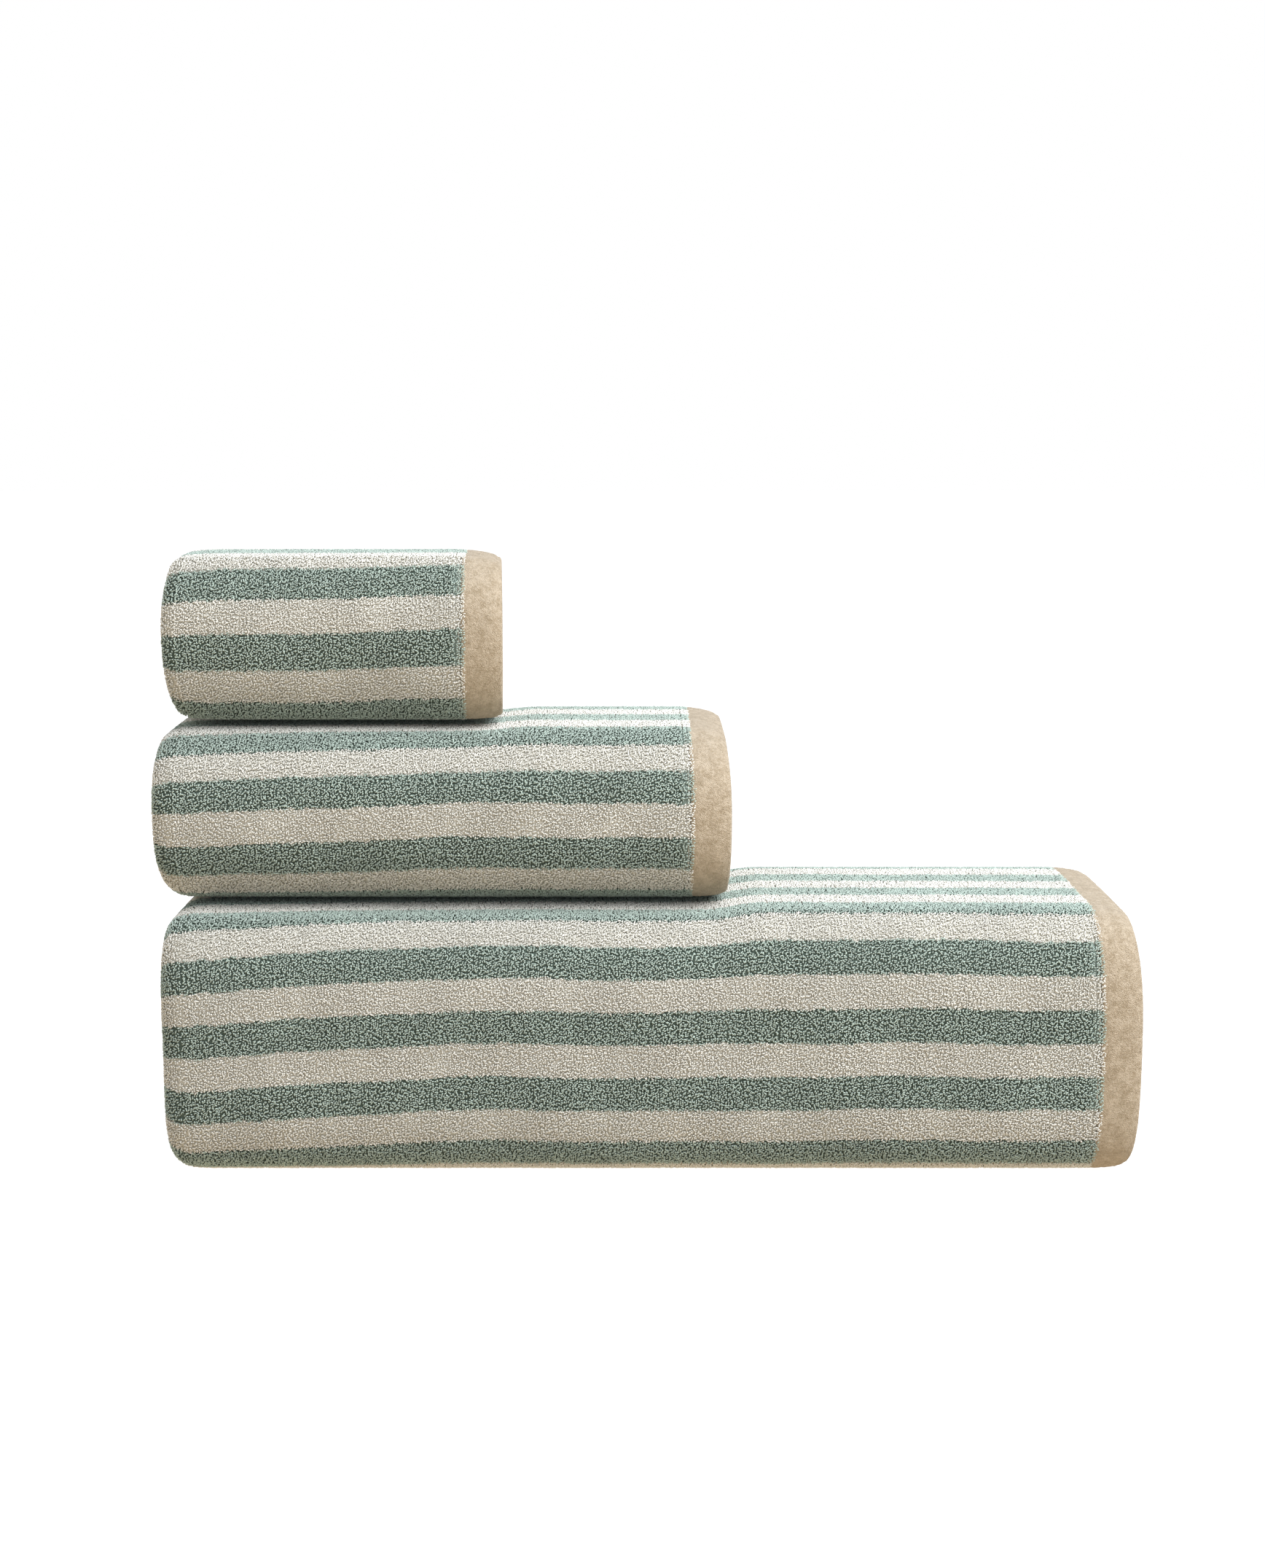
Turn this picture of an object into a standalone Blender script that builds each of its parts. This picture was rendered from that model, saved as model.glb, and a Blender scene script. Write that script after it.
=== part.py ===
"""Bath towel set: a bath towel, a hand towel and a washcloth, folded and stacked.

Metres, +Z up, the stripes run along X and the fronts face -Y. The origin is under the middle of the
stack. Each towel is folded along its length into plies and then wrapped across its width into nested
loops, so a point of a towel is named by three measures of the flat cloth: how far along it is from the
outer end, how far across it is from the outer side, and how far it is off the middle of the cloth.
"""

import math
from dataclasses import dataclass

import bpy
import numpy as np

GAP = 0.0003  # clearance between pieces that touch

# The cloth, and what is sewn to it
TERRY_THICK = 0.0057
GROUND_THICK = 0.0020  # the woven ground under the end bands, without loops
HEM_THICK = 0.0034
HEM_WIDTH = 0.010
SHOULDER = 0.0010  # length over which the loops rise from the ground
BAND_WIDTH = 0.0175
BAND_WALL = 0.0014
THREAD_RADIUS = 0.0004
SEAM_GROOVE = 0.0020  # bare ground between a band and the first loops
HEM_STITCH_IN = 0.0065  # from the side edge to its row of stitches
LABEL_WIDTH = 0.025
LABEL_LENGTH = 0.030
LABEL_THICK = 0.0005
LABEL_ALONG = 0.10  # from the outer end to the label
NOSE = BAND_WALL + GAP  # from the cloth's end to the outside of its band

# The folded bundles
SQUASH = 0.0035  # how far the underside and the top are flattened
TUCK = 0.004  # how far the hidden fold stays inside the outer end
CORNER_STEPS = (1.0, 0.72, 0.40, 0.0)  # from a flat round to the side, as shares of that turn
FOLD_STEPS = 4
THREAD_SIDES = 5

TERRY_COLOUR = (0.50, 0.60, 0.55, 1.0)
BAND_COLOUR = (0.68, 0.52, 0.36, 1.0)
THREAD_COLOUR = (0.80, 0.76, 0.66, 1.0)
LABEL_COLOUR = (0.90, 0.89, 0.86, 1.0)


@dataclass
class Towel:
    name: str
    flat_width: float
    flat_length: float
    plies: int
    loose: float  # room between one ply and the next
    hem_back: float  # how far the hidden hem stops short of the fold or end that it points at
    left: float
    height: float
    set_back: float  # of its front, behind the front of the lowest towel
    fill: float  # share of the cross-section that cloth fills
    power: float  # of the rounded cross-section: 2 is an ellipse, and more is boxier
    bottom: float = 0.0

    @property
    def pitch(self):
        """From one ply to the next."""
        return TERRY_THICK + self.loose

    @property
    def fold_radius(self):
        """Of the fold at the left, which takes the outer ply round to the innermost."""
        return self.pitch * (self.plies - 1) / 2

    @property
    def folded_length(self):
        """What the flat length makes, laid in plies."""
        at_left = TERRY_THICK / 2 + self.fold_radius
        cloth = self.flat_length - NOSE + self.hem_back - math.pi * self.fold_radius
        if self.plies == 2:
            return (cloth + 2 * at_left) / 2
        at_right = TUCK + TERRY_THICK / 2 + self.pitch / 2
        return (cloth + 3 * at_left + 2 * at_right - math.pi * self.pitch / 2) / 3

    @property
    def right(self):
        return self.left + self.folded_length

    @property
    def stack(self):
        """Thickness of one turn of the wrap."""
        return self.plies * self.pitch

    @property
    def half_height(self):
        """Of the rounded cross-section, before its top and underside are flattened."""
        return self.height / 2 + SQUASH

    @property
    def half_depth(self):
        """The cloth's own section sets how deep the bundle is."""
        rounding = math.gamma(1 + 1 / self.power) ** 2 / math.gamma(1 + 2 / self.power)
        return self.flat_width * self.stack / (4 * self.half_height * rounding * self.fill)


BATH = Towel("bath_towel", 0.700, 1.300, 3, 0.0008, 0.010, -0.217, 0.1230, 0.0, 0.804, 3.4)
HAND = Towel("hand_towel", 0.406, 0.762, 3, 0.0008, 0.020, -0.225, 0.0827, 0.020, 0.854, 2.5)
WASH = Towel("washcloth", 0.305, 0.305, 2, 0.0011, 0.013, -0.224, 0.0785, 0.037, 0.815, 2.25)
HAND.bottom = BATH.bottom + BATH.height + GAP
WASH.bottom = HAND.bottom + HAND.height + GAP


class Fold:
    """The fold along the towel: where a point of the cloth's length lies, in X and in depth."""

    def __init__(self, towel):
        half, big, small = TERRY_THICK / 2, towel.fold_radius, towel.pitch / 2
        self.length = towel.flat_length - 2 * NOSE
        self.start = towel.right - NOSE
        left_fold = towel.left + half + big
        runs = [(self.start - left_fold, 0.0), (math.pi * big, -1 / big)]
        if towel.plies == 3:
            inner = towel.right - TUCK - half - small - left_fold
            runs += [(inner, 0.0), (math.pi * small, -1 / small)]
        used = sum(run for run, _ in runs)
        self.runs = runs + [(self.length - used, 0.0)]

    def at(self, along):
        """X, depth, and the direction in which the cloth's face looks."""
        x, depth, heading = self.start, TERRY_THICK / 2, math.pi
        left = along
        for number, (run, bend) in enumerate(self.runs):
            last = number == len(self.runs) - 1
            step = left if last else min(left, run)
            if bend:
                turned = heading + bend * step
                x += (math.sin(turned) - math.sin(heading)) / bend
                depth -= (math.cos(turned) - math.cos(heading)) / bend
                heading = turned
            else:
                x += step * math.cos(heading)
                depth += step * math.sin(heading)
            left -= step
            if left <= 0:
                break
        return x, depth, -math.sin(heading), math.cos(heading)

    def stations(self, first, last):
        """Places along the cloth from first to last, with enough of them round each fold."""
        places, begun = [first, last], 0.0
        for run, bend in self.runs:
            steps = FOLD_STEPS if bend else 1
            places += [begun + run * k / steps for k in range(steps + 1)]
            begun += run
        return sorted({round(place, 7) for place in places if first <= place <= last})


class Wrap:
    """The wrap across the towel: nested rounded loops that share their corners' directions."""

    def __init__(self, towel):
        self.towel = towel
        self.middle = (
            -BATH.half_depth + towel.set_back + towel.half_depth,
            towel.bottom + towel.height / 2,
        )
        self.flattest = 1 - SQUASH / towel.half_height
        flat = math.asin(self.flattest ** (towel.power / 2))
        quarter = [flat * share for share in CORNER_STEPS]
        back_to_front = [-flat] + [angle - math.pi for angle in quarter]
        up_the_front = [-math.pi - angle for angle in reversed(quarter[:-1])]
        over_the_top = [angle - 2 * math.pi for angle in quarter]
        down_the_back = [-2 * math.pi - angle for angle in reversed(quarter[1:-1])]
        self.turn = back_to_front + up_the_front + over_the_top + down_the_back
        self.flat_from = flat
        count, lengths = 0, [0.0]
        depth = towel.stack / 2
        while lengths[-1] < towel.flat_width + LABEL_LENGTH:
            step = np.subtract(self.corner(count + 1, depth), self.corner(count, depth))
            lengths.append(lengths[-1] + float(np.hypot(*step)))
            count += 1
        self.lengths = lengths

    def corner(self, number, depth):
        """Y and Z of a corner, counted from the free side edge, at a depth inside the outer face."""
        towel = self.towel
        turns, place = divmod(number, len(self.turn))
        angle = self.turn[place]
        past_back = max(-angle - 2 * math.pi, 0.0) / self.flat_from
        sunk = past_back * past_back * (3 - 2 * past_back)  # under the turn that began before it
        depth += towel.stack * (turns + sunk)
        across, upward = (
            math.copysign(abs(value) ** (2 / towel.power), value)
            for value in (math.cos(angle), math.sin(angle))
        )
        upward = min(max(upward, -self.flattest), self.flattest)
        y = self.middle[0] + across * (towel.half_depth - depth)
        z = self.middle[1] + upward * (towel.half_height - depth)
        return y, z

    def at(self, across, depth):
        """Y and Z of the cloth at a distance from the outer side edge."""
        place = float(np.interp(across, self.lengths, range(len(self.lengths))))
        first = min(int(place), len(self.lengths) - 2)
        share = place - first
        here, after = self.corner(first, depth), self.corner(first + 1, depth)
        return tuple(a + (b - a) * share for a, b in zip(here, after))

    def stations(self, first, last):
        """Distances across the cloth from first to last, with one at each corner."""
        places = [first, last] + [place for place in self.lengths if first < place < last]
        return sorted({round(place, 7) for place in places})


class Cloth:
    """A towel's fold and wrap together: flat measures in, a point of the bundle out."""

    def __init__(self, towel):
        self.towel, self.fold, self.wrap = towel, Fold(towel), Wrap(towel)

    def point(self, along, across, off):
        x, depth, out_x, out_depth = self.fold.at(along)
        return (x + off * out_x, *self.wrap.at(across, depth + off * out_depth))


def material(name, colour, roughness):
    made = bpy.data.materials.new(name)
    made.use_nodes = True
    shader = made.node_tree.nodes["Principled BSDF"]
    shader.inputs["Base Color"].default_value = colour
    shader.inputs["Roughness"].default_value = roughness
    shader.inputs["Metallic"].default_value = 0.0
    return made


def add_piece(name, points, faces, finish, parent):
    mesh = bpy.data.meshes.new(name)
    mesh.from_pydata(points, [], faces)
    mesh.materials.append(finish)
    mesh.validate()
    piece = bpy.data.objects.new(name, mesh)
    bpy.context.collection.objects.link(piece)
    piece.parent = parent
    piece.matrix_parent_inverse = parent.matrix_world.inverted()
    return piece


def ring_faces(rings, sides):
    """Quads between rings of points that are closed round, and a cap at each end."""
    faces = []
    for ring in range(rings - 1):
        for side in range(sides):
            after = (side + 1) % sides
            low, high = ring * sides, (ring + 1) * sides
            faces.append((low + side, low + after, high + after, high + side))
    faces.append(tuple(reversed(range(sides))))
    faces.append(tuple(range((rings - 1) * sides, rings * sides)))
    return faces


def half_thickness(cloth, along, across):
    """Half the cloth's thickness: thin under the bands, hemmed at the sides, full elsewhere."""
    length, width = cloth.fold.length, cloth.towel.flat_width
    from_end, from_side = min(along, length - along), min(across, width - across)
    rise = (from_end - BAND_WIDTH - SEAM_GROOVE) / SHOULDER
    ground, full = GROUND_THICK / 2, TERRY_THICK / 2
    by_end = ground + (full - ground) * min(max(rise, 0.0), 1.0)
    rise = (from_side - HEM_WIDTH) / SHOULDER
    by_side = HEM_THICK / 2 + (full - HEM_THICK / 2) * min(max(rise, 0.0), 1.0)
    return min(by_end, by_side)


def terry_cloth(cloth, finish, parent):
    """The whole cloth as one closed sheet, a row of points for each place along it."""
    towel, length = cloth.towel, cloth.fold.length
    edges = [BAND_WIDTH + SEAM_GROOVE, BAND_WIDTH + SEAM_GROOVE + SHOULDER]
    rows = sorted(set(cloth.fold.stations(0.0, length) + edges + [length - edge for edge in edges]))
    sides = [HEM_WIDTH, HEM_WIDTH + SHOULDER]
    columns = sorted(
        set(cloth.wrap.stations(0.0, towel.flat_width) + sides + [towel.flat_width - s for s in sides])
    )
    points = []
    for face in (1, -1):
        for along in rows:
            for across in columns:
                off = face * half_thickness(cloth, along, across)
                points.append(cloth.point(along, across, off))
    wide, layer = len(columns), len(rows) * len(columns)
    faces = []
    for row in range(len(rows) - 1):
        for column in range(wide - 1):
            a = row * wide + column
            quad = (a, a + 1, a + wide + 1, a + wide)
            faces.append(quad)
            faces.append(tuple(layer + corner for corner in reversed(quad)))
    edge = [row * wide for row in range(len(rows))]
    edge += [(len(rows) - 1) * wide + column for column in range(1, wide)]
    edge += [row * wide + wide - 1 for row in reversed(range(len(rows) - 1))]
    edge += [column for column in reversed(range(1, wide - 1))]
    for here, after in zip(edge, edge[1:] + edge[:1]):
        faces.append((here, after, layer + after, layer + here))
    return add_piece(towel.name + "_cloth", points, faces, finish, parent)


def end_band(cloth, name, at_far_end, finish, parent):
    """A strip folded over the cloth's end, as wide as the towel."""
    inside = GROUND_THICK / 2 + GAP
    outside = inside + BAND_WALL
    profile = [
        (BAND_WIDTH, outside),
        (0.0, outside),
        (-NOSE, outside / 2),
        (-NOSE, -outside / 2),
        (0.0, -outside),
        (BAND_WIDTH, -outside),
        (BAND_WIDTH, -inside),
        (-GAP, -inside),
        (-GAP, inside),
        (BAND_WIDTH, inside),
    ]
    rings = cloth.wrap.stations(0.0, cloth.towel.flat_width)
    length = cloth.fold.length
    points = [
        cloth.point(length - along if at_far_end else along, across, -off if at_far_end else off)
        for across in rings
        for along, off in profile
    ]
    return add_piece(name, points, ring_faces(len(rings), len(profile)), finish, parent)


def thread(name, cloth, path, finish, parent):
    """A round thread along a list of (along, across, off) places, closed at both ends."""
    centres = [np.array(cloth.point(*place)) for place in path]
    tops = [np.array(cloth.point(a, b, off + THREAD_RADIUS)) for a, b, off in path]
    points = []
    for number, (centre, top) in enumerate(zip(centres, tops)):
        before, after = centres[max(number - 1, 0)], centres[min(number + 1, len(centres) - 1)]
        run = (after - before) / np.linalg.norm(after - before)
        up = top - centre
        up -= run * up.dot(run)
        up /= np.linalg.norm(up)
        beside = np.cross(run, up)
        for side in range(THREAD_SIDES):
            angle = 2 * math.pi * side / THREAD_SIDES
            spoke = up * math.cos(angle) + beside * math.sin(angle)
            points.append(tuple(centre + THREAD_RADIUS * spoke))
    return add_piece(name, points, ring_faces(len(path), THREAD_SIDES), finish, parent)


def band_seam(cloth, name, at_far_end, finish, parent):
    """The row of stitches that holds a band, in the bare groove beside it."""
    along = BAND_WIDTH + SEAM_GROOVE / 2
    off = GROUND_THICK / 2 + GAP + THREAD_RADIUS
    if at_far_end:
        along = cloth.fold.length - along
    inset = 2 * THREAD_RADIUS
    places = cloth.wrap.stations(inset, cloth.towel.flat_width - inset)
    return thread(name, cloth, [(along, across, off) for across in places], finish, parent)


def side_seam(cloth, name, across, finish, parent):
    """The row of stitches in a side hem, which runs through every fold of the towel."""
    clear = BAND_WIDTH + SEAM_GROOVE + SHOULDER + 2 * THREAD_RADIUS
    off = HEM_THICK / 2 + GAP + THREAD_RADIUS
    places = cloth.fold.stations(clear, cloth.fold.length - clear)
    return thread(name, cloth, [(along, across, off) for along in places], finish, parent)


def care_label(cloth, finish, parent):
    """A blank woven label, sewn to the hidden side hem."""
    first = cloth.towel.flat_width + GAP
    rings = cloth.wrap.stations(first, first + LABEL_LENGTH - GAP)
    half = LABEL_THICK / 2
    profile = [(0.0, half), (0.0, -half), (LABEL_WIDTH, -half), (LABEL_WIDTH, half)]
    points = [
        cloth.point(LABEL_ALONG + along, across, off) for across in rings for along, off in profile
    ]
    name = cloth.towel.name + "_care_label"
    return add_piece(name, points, ring_faces(len(rings), len(profile)), finish, parent)


def lift_point(cloth, parent):
    """An empty on the line along which a towel lifts off the one below."""
    towel = cloth.towel
    point = bpy.data.objects.new(towel.name + "_lift", None)
    bpy.context.collection.objects.link(point)
    point.location = ((towel.left + towel.right) / 2, cloth.wrap.middle[0], towel.bottom)
    bpy.context.view_layer.update()
    if parent:
        point.parent = parent
        point.matrix_parent_inverse = parent.matrix_world.inverted()
    bpy.context.view_layer.update()
    return point


def make_towel(towel, finishes, below):
    terry, velour, cotton, tape = finishes
    cloth = Cloth(towel)
    held = lift_point(cloth, below)
    terry_cloth(cloth, terry, held)
    end_band(cloth, towel.name + "_end_band", False, velour, held)
    end_band(cloth, towel.name + "_inner_band", True, velour, held)
    band_seam(cloth, towel.name + "_end_band_seam", False, cotton, held)
    band_seam(cloth, towel.name + "_inner_band_seam", True, cotton, held)
    side_seam(cloth, towel.name + "_outer_hem_seam", HEM_STITCH_IN, cotton, held)
    inner_side = towel.flat_width - HEM_STITCH_IN
    side_seam(cloth, towel.name + "_inner_hem_seam", inner_side, cotton, held)
    care_label(cloth, tape, held)
    return held


def turn_outward():
    """Every face looks out of its piece."""
    for piece in bpy.data.objects:
        if piece.type != "MESH":
            continue
        mesh = piece.data
        mesh.calc_loop_triangles()
        places = np.array([vertex.co for vertex in mesh.vertices])
        corners = places[np.array([triangle.vertices for triangle in mesh.loop_triangles])]
        volume = np.einsum("ij,ij->i", corners[:, 0], np.cross(corners[:, 1], corners[:, 2])).sum()
        if volume < 0:
            mesh.flip_normals()


def main():
    for old in list(bpy.data.objects):
        bpy.data.objects.remove(old, do_unlink=True)
    finishes = (
        material("terry", TERRY_COLOUR, 0.95),
        material("velour", BAND_COLOUR, 0.90),
        material("cotton_thread", THREAD_COLOUR, 0.85),
        material("label_tape", LABEL_COLOUR, 0.70),
    )
    below = None
    for towel in (BATH, HAND, WASH):
        below = make_towel(towel, finishes, below)
    turn_outward()


main()
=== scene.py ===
"""Bath towel set: a folded bath towel, hand towel and washcloth in striped terry, with velour end bands.

Metres, +Z up, the stripes run along X and the fronts face -Y. A point of a towel is named by three
measures of the flat cloth: along it from the outer end, across it from the outer side, and off its
middle. A fold takes the along measure to X and a depth, and a wrap takes the across measure to a
rounded cross-section. The pile is real loops of yarn, rooted on the cloth's ground.
"""

import math
from dataclasses import dataclass

import bpy
import numpy as np
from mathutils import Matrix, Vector


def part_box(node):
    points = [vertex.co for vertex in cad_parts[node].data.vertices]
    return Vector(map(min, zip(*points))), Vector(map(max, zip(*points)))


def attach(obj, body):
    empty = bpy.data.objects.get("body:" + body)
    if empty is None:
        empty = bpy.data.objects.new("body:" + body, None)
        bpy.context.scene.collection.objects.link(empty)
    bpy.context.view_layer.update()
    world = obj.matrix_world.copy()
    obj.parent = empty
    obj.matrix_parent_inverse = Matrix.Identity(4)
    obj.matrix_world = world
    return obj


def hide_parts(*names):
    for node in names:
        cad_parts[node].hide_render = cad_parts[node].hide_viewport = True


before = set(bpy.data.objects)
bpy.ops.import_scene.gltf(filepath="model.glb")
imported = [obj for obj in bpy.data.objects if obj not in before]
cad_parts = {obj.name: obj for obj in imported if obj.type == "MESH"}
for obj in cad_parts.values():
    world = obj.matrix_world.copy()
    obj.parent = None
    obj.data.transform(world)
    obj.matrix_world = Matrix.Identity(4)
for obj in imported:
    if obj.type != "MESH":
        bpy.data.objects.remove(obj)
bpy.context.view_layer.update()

# The cloth, as it was cut and sewn
TERRY_THICK = 0.0057  # over the loops
GROUND_HALF = 0.0015  # half the woven ground under the loops
BARE_HALF = 0.0010  # half the ground under the end bands
HEM_HALF = 0.0015
HEM_WIDTH = 0.010
SHOULDER = 0.0015  # length over which one thickness turns into the next
BAND_WIDTH = 0.0175
BAND_WALL = 0.0014
GAP = 0.0003  # clearance between pieces that touch
NOSE = BAND_WALL + GAP  # from the cloth's end to the outside of its band
SEAM_GROOVE = 0.0020  # bare ground between a band and the first loops
HEM_STITCH_IN = 0.0065  # from the side edge to its row of stitches
LABEL_ALONG = 0.10  # from the outer end to the label
LABEL_WIDTH = 0.025
LABEL_LENGTH = 0.030
LABEL_HALF = 0.00022
LABEL_CURL = 0.0004
THREAD_RADIUS = 0.0004
THREAD_SIDES = 6
STITCH_LENGTH = 0.0028
STITCH_TURN = 0.0005  # length over which a thread turns down into the cloth
STITCH_DEPTH = 0.0006

# The folded bundles
SQUASH = 0.0035  # how far the underside and the top are flattened
SOFT_EDGE = 0.02  # how gradually a flattened face begins
TUCK = 0.004  # how far the hidden fold stays inside the outer end
NOSE_STRETCH = 1.25  # the fold at the left is a pointed round
NOSE_POINT = 0.15  # how pointed it is
WRAP_QUARTERS = 14  # quarter turns, more than the widest towel makes
QUARTER_STEPS = 400
SAG_REACH = 0.17  # how far from the left end the stripes begin to run down
STRIPE_SWAY = ((0.016, 31, 9), (0.010, 67, -23))  # a size in pairs, and its rates along X and across

# How a bundle settles
LEFT_DRAW_REACH = 0.022
RIGHT_DRAW_REACH = 0.024
SIDE_DRAW = 0.0015  # how far the front and the back draw in at the ends
BULGE_REACH = 0.08  # how far from an end its bulge begins
TURN_STEP_IN = 0.0022  # how much further in each inner turn ends
FREE_BLEND = 0.03  # length over which a top that nothing presses on comes up
SLOPE_FROM = 0.6  # where the slope to the front begins: 1 is the back and -1 the front
SWELL_SIZE = 0.0005
# of each swell: its size, its rates along X and up the side, and how much a wider towel shifts it
SWELLS = ((1.0, 41, 0.0, 13), (0.7, 93, 2.9, 0), (0.6, 158, -5.3, 0))

# The pile
LOOP_PITCH = 0.00102
CLOSER_ACROSS = 1.13  # loops lie closer across the cloth than along it, by this much
LOOP_SHAKE = 0.33  # how far a loop stands off its place, in pitches
LOOP_RADIUS = 0.00038
LOOP_SIDES = 3
LOOP_POINTS = 2 + 2 * LOOP_SIDES  # a foot, two rings across the top, and a foot
LOOPS_IN_PIECE = 16000
PILE_TOP = 0.0029  # off the middle of the cloth
FOOT_SUNK = 0.0002  # how deep in the ground a loop is rooted
LOOP_SWING = (0.75, 0.62)  # which way a loop bends, in radians from along: its middle and spread
SWING_SHARE = 0.85  # of the loops, bend to that side
LOOP_RISE = (0.78, 1.06)  # of the pile's height
LOOP_REACH = (0.38, 0.54)  # from its middle to a foot, in pitches
LOOP_LEAN = 0.00022  # how far a loop's top stands off its root, as a spread
LOOP_THICK = (0.86, 1.14)  # of LOOP_RADIUS
CROWN_HEIGHT = 0.80  # of a loop's rise, for the middle of its yarn
RING_OUT = 0.68  # of a loop's reach, where its two rings are
RING_LEVEL = 0.75  # how much a ring looks along the loop, against out of the cloth

# Where the pile lies
SHOWN_TURN = 2 * math.pi + 0.12  # round the wrap, as far as the outermost turn shows
HEM_CLEAR = HEM_WIDTH + 0.0005
FRONT_MARGIN = 0.006  # how far under the bath towel's front the loops begin
FACE_CLEAR = 0.0026  # between the band and the first loops of the face
BAND_CLEAR = 0.003  # between the hidden band and the first loops
LOOP_LAP = 0.0005  # how far the face's loops and the fold's run into each other
FRINGE = (-0.0013, 0.0028)  # where the loops that lean over the band begin and end, from its edge
FRINGE_PITCH = (0.0010, 0.0009)
FRINGE_LEAN = -0.0005  # towards the band
FOLD_CLOSER = 0.75  # of the pitch, because a fold spreads the loops
NEAR_TURN = (0.005, 0.003)  # how far the loops of the hidden fold run on before it and after it
FREE_EDGE_WIDTH = 0.018  # of the loops along the free side edge

# How fine the meshes are
FACE_WIDE = 0.49  # of a flat layout, for each face of a sheet
OTHER_FACE = 0.505  # of a flat layout, where a sheet's second face begins
PLAIN_ROW, NEAR_FOLD_ROW, FOLD_ROW, END_ROW = 0.012, 0.004, 0.0018, 0.0025
FOLD_MARGIN, NEAR_FOLD = 0.002, 0.030  # how far the finest and the finer rows run on past a fold
COLUMN, HEM_COLUMN = 0.0032, 0.001
LEAST_STEP = 0.0002  # nearer than this, two places count as one
END_BAND_STEP, INNER_BAND_STEP = 0.0012, 0.004
BAND_FACE_POINTS, BAND_NOSE_POINTS = 15, 7
BAND_HALF = 0.00255  # half a band's thickness, where it is fullest
BAND_END_IN = 0.0004  # how far a band stops short of the side edges
NAP = 0.00016  # how rough the velour is
BAND_SEAM_STEP, HEM_SEAM_STEP = 0.0007, 0.0009
LABEL_ROWS, LABEL_COLUMNS = 22, 12

RANDOM = np.random.default_rng(41)


@dataclass
class Towel:
    name: str
    flat_width: float
    flat_length: float
    plies: int
    loose: float  # room between one ply and the next
    stripe_pair: float  # one sage stripe and one cream stripe
    stripe_phase: float
    stripe_sag: float  # how far down the stripes run at the left end, in pairs
    power: float  # of the rounded cross-section: 2 is an ellipse, and more is boxier
    rests_on: tuple
    left_draw: tuple  # how far the top and the underside draw in at the left end
    right_draw: tuple
    left_short: tuple  # how far the left end stops short, and how much more at the top and low down
    right_short: tuple
    lean_back: float  # how much shorter the back is than the front
    free_from: float  # X beyond which nothing presses on its top
    free_rise: float  # how far the top comes up there
    slope: float  # how far the top comes down towards the front


BATH = Towel(
    name="bath_towel",
    flat_width=0.700,
    flat_length=1.300,
    plies=3,
    loose=0.0008,
    stripe_pair=0.03024,
    stripe_phase=0.740,
    stripe_sag=0.24,
    power=4.1,
    rests_on=(),
    left_draw=(0.001, 0.001),
    right_draw=(0.0025, 0.001),
    left_short=(-0.0033, -0.0010, 0.0),
    right_short=(0.0, 0.0035, 0.0020),
    lean_back=0.0,
    free_from=0.041,
    free_rise=0.0034,
    slope=0.0021,
)
HAND = Towel(
    name="hand_towel",
    flat_width=0.406,
    flat_length=0.762,
    plies=3,
    loose=0.0008,
    stripe_pair=0.0308,
    stripe_phase=0.3685,
    stripe_sag=0.16,
    power=2.5,
    rests_on=("bath_towel_cloth",),
    left_draw=(0.001, 0.001),
    right_draw=(0.0035, 0.001),
    left_short=(-0.0013, -0.0015, 0.001),
    right_short=(0.0015, 0.0020, 0.0010),
    lean_back=0.001,
    free_from=-0.065,
    free_rise=0.0022,
    slope=0.0042,
)
WASH = Towel(
    name="washcloth",
    flat_width=0.305,
    flat_length=0.305,
    plies=2,
    loose=0.0011,
    stripe_pair=0.0326,
    stripe_phase=0.4175,
    stripe_sag=0.08,
    power=2.1,
    rests_on=("hand_towel_cloth",),
    left_draw=(0.002, 0.002),
    right_draw=(0.0030, 0.001),
    left_short=(0.0013, 0.0020, 0.003),
    right_short=(0.0, 0.0, 0.0),
    lean_back=0.0045,
    free_from=-0.300,
    free_rise=0.0012,
    slope=0.0034,
)


def ease(value):
    """0 to 1 with a soft start and a soft end."""
    value = np.clip(value, 0.0, 1.0)
    return value * value * (3 - 2 * value)


def nearness(distance, reach, power):
    """1 at no distance, falling to 0 at the reach."""
    return np.clip(1 - distance / reach, 0, 1) ** power


def signed_power(value, power):
    return np.sign(value) * np.abs(value) ** power


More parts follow.
